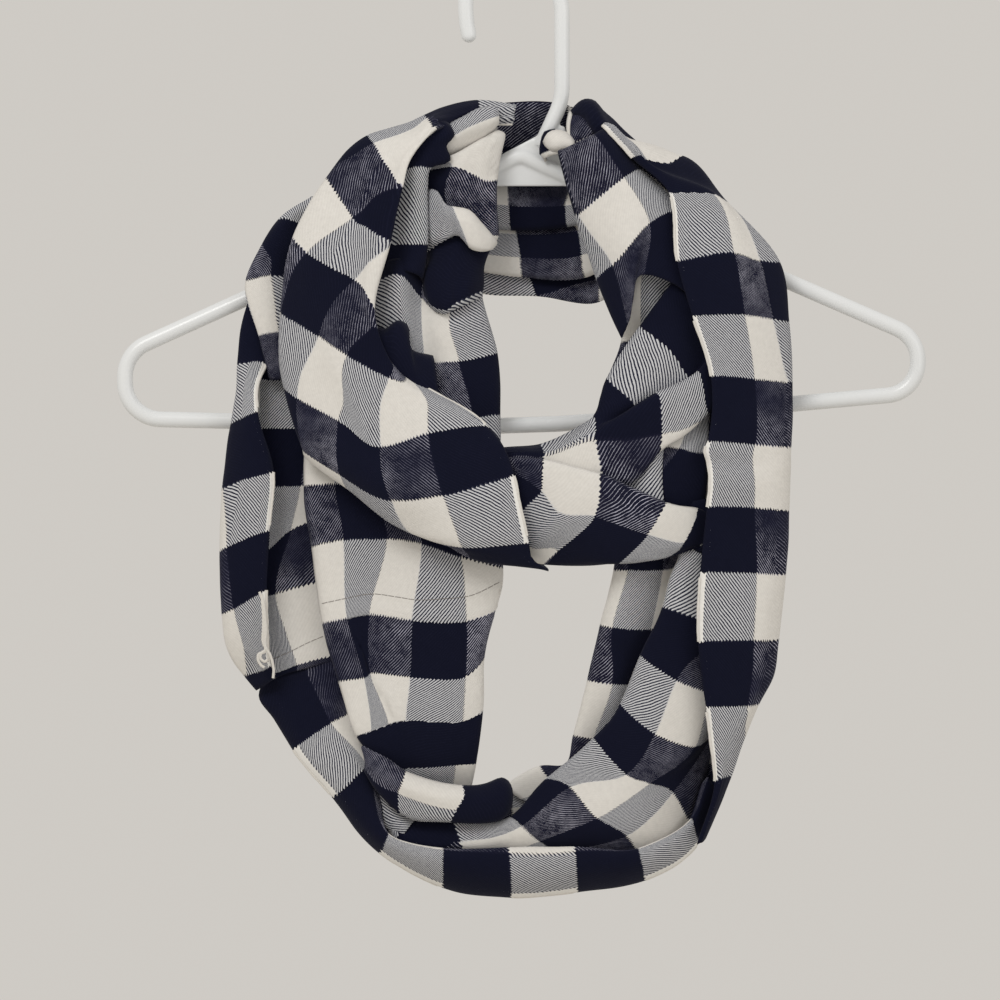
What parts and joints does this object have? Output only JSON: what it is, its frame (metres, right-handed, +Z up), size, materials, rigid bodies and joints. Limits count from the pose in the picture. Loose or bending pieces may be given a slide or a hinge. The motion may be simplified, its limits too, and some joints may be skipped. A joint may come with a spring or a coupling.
{
  "type": "checked infinity scarf wound double on a tubular clothes hanger",
  "caption": "Checked infinity scarf, a joined loop of brushed cotton wound double, draped over a white tubular hanger that hangs from its hook",
  "frame": {"origin": "the point of the hook's inner top that rests on a peg or rail, in the middle plane of the hanger", "axes": "+Z is up, the front of the scarf faces -Y, +X is to the right seen from the front, and the hanger's middle plane is y = 0"},
  "size_m": [0.4207, 0.0731, 0.4997],
  "materials": {
    "cloth": "brushed cotton twill in a two-colour check, soft and matt",
    "hanger": "white moulded plastic, smooth, softly glossy"
  },
  "bodies": {
    "root": {"back_band": "cloth", "bottom_back": "cloth", "bottom_rim": "cloth", "left_gather": "cloth", "left_inner": "cloth", "left_outer": "cloth", "left_panel": "cloth", "left_roll": "cloth", "left_shoulder": "cloth", "right_fall": "cloth", "right_fill": "cloth", "right_inner": "cloth", "right_outer": "cloth", "right_pleat": "cloth", "right_slip": "cloth", "right_turn": "cloth", "trough": "cloth", "hanger_arm_left": "hanger", "hanger_arm_right": "hanger", "hanger_hook": "hanger", "hanger_neck": "hanger"}
  },
  "joints": []
}
